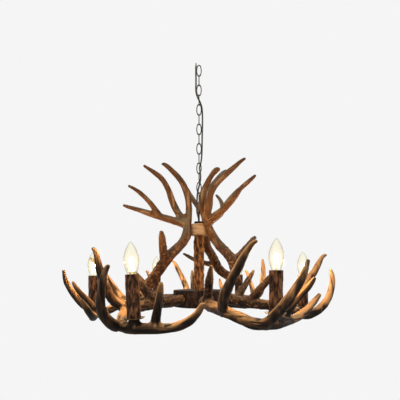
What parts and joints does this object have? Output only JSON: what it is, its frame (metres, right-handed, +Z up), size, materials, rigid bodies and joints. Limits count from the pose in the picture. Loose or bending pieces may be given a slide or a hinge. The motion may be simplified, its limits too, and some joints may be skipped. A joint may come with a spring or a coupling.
{
  "type": "antler chandelier",
  "caption": "Ring of antler arms with candle lamps round a bark covered stem, antlers rising from a collar, hung on a link chain with a laced cord.",
  "frame": {"origin": "the point inside the top chain link that rests on the ceiling hook", "axes": "+Z up along the stem, -Y towards the viewer, +X to the viewer's right"},
  "size_m": [0.8542, 0.757, 0.7983],
  "materials": {
    "antique_bronze": "dark antique bronze, rubbed brighter on the wire's outside",
    "cord_sheath": "satin brown sheath",
    "core_sheath": "glossy core insulation",
    "zinc_steel": "dull zinc",
    "collar_resin": "cast resin, golden brown, stained dark at one edge",
    "bark_resin": "cast resin with a bark texture, dark brown",
    "hub_resin": "cast resin, rough, very dark brown",
    "hub_metal": "dark brown paint",
    "terminal_plastic": "off-white moulding",
    "lead_sheath": "black sheath",
    "lampholder_plastic": "black moulding",
    "arm_resin": "cast resin antler, dark brown with tan edges and pale tips",
    "crown_resin": "cast resin antler, warm brown with dark streaks and pale tips",
    "pan_metal": "aged brass",
    "bulb_glass": "clear glass",
    "bulb_cap_metal": "plated screw cap",
    "filament_glow": "glass post with glowing filament rods"
  },
  "bodies": {
    "top_link": {"chain_link_top": "antique_bronze"},
    "second_link": {"chain_link_second": "antique_bronze"},
    "chain": {"chain_links": "antique_bronze", "suspension_loop": "antique_bronze", "supply_cord": "cord_sheath", "supply_cores": "core_sheath", "stem_lead": "cord_sheath"},
    "fixture": {"stem_tube": "zinc_steel", "stem_nuts": "zinc_steel", "arm_screws": "zinc_steel", "collar_screws": "antique_bronze", "collar": "collar_resin", "bark_column": "bark_resin", "hub_drum": "hub_resin", "hub_cover": "hub_metal", "bottom_finial": "hub_metal", "terminal_block": "terminal_plastic", "lamp_leads": "lead_sheath", "candle_nipples": "zinc_steel", "lampholders": "lampholder_plastic", "arm_antler_back_left": "arm_resin", "candle_sleeve_back_left": "bark_resin", "drip_pan_back_left": "pan_metal", "arm_antler_back_right": "arm_resin", "candle_sleeve_back_right": "bark_resin", "drip_pan_back_right": "pan_metal", "arm_antler_front_left": "arm_resin", "candle_sleeve_front_left": "bark_resin", "drip_pan_front_left": "pan_metal", "arm_antler_front_right": "arm_resin", "candle_sleeve_front_right": "bark_resin", "drip_pan_front_right": "pan_metal", "arm_antler_left": "arm_resin", "candle_sleeve_left": "bark_resin", "drip_pan_left": "pan_metal", "arm_antler_right": "arm_resin", "candle_sleeve_right": "bark_resin", "drip_pan_right": "pan_metal", "crown_antler_back": "crown_resin", "crown_antler_left": "crown_resin", "crown_antler_right": "crown_resin"},
    "bulb_back_left": {"bulb_glass_back_left": "bulb_glass", "bulb_cap_back_left": "bulb_cap_metal", "bulb_filament_back_left": "filament_glow"},
    "bulb_back_right": {"bulb_glass_back_right": "bulb_glass", "bulb_cap_back_right": "bulb_cap_metal", "bulb_filament_back_right": "filament_glow"},
    "bulb_front_left": {"bulb_glass_front_left": "bulb_glass", "bulb_cap_front_left": "bulb_cap_metal", "bulb_filament_front_left": "filament_glow"},
    "bulb_front_right": {"bulb_glass_front_right": "bulb_glass", "bulb_cap_front_right": "bulb_cap_metal", "bulb_filament_front_right": "filament_glow"},
    "bulb_left": {"bulb_glass_left": "bulb_glass", "bulb_cap_left": "bulb_cap_metal", "bulb_filament_left": "filament_glow"},
    "bulb_right": {"bulb_glass_right": "bulb_glass", "bulb_cap_right": "bulb_cap_metal", "bulb_filament_right": "filament_glow"}
  },
  "joints": [
    {"name": "swing_sideways_link", "type": "hinge", "parent": "top_link", "child": "second_link", "pos_m": [0, 0, -0.0325], "axis": [1, 0, 0], "range_deg": [-10, 10]},
    {"name": "swing_chain", "type": "hinge", "parent": "second_link", "child": "chain", "pos_m": [0, 0, -0.0632], "axis": [0, 1, 0], "range_deg": [-10, 10]},
    {"name": "turn_at_loop", "type": "hinge", "parent": "chain", "child": "fixture", "pos_m": [0, 0, -0.495], "axis": [0, 0, 1], "range_deg": [-45, 45], "stiffness_Nm_per_rad": 0.3},
    {"name": "bulb_out_back_left", "type": "slide", "parent": "fixture", "child": "bulb_back_left", "axis": [0, 0, 1], "range_m": [0, 0.03]},
    {"name": "bulb_out_back_right", "type": "slide", "parent": "fixture", "child": "bulb_back_right", "axis": [0, 0, 1], "range_m": [0, 0.03]},
    {"name": "bulb_out_front_left", "type": "slide", "parent": "fixture", "child": "bulb_front_left", "axis": [-0.0454, 0, 0.999], "range_m": [0, 0.03]},
    {"name": "bulb_out_front_right", "type": "slide", "parent": "fixture", "child": "bulb_front_right", "axis": [0.0105, 0, 0.9999], "range_m": [0, 0.03]},
    {"name": "bulb_out_left", "type": "slide", "parent": "fixture", "child": "bulb_left", "axis": [-0.0087, 0, 1], "range_m": [0, 0.03]},
    {"name": "bulb_out_right", "type": "slide", "parent": "fixture", "child": "bulb_right", "axis": [0, 0, 1], "range_m": [0, 0.03]}
  ]
}
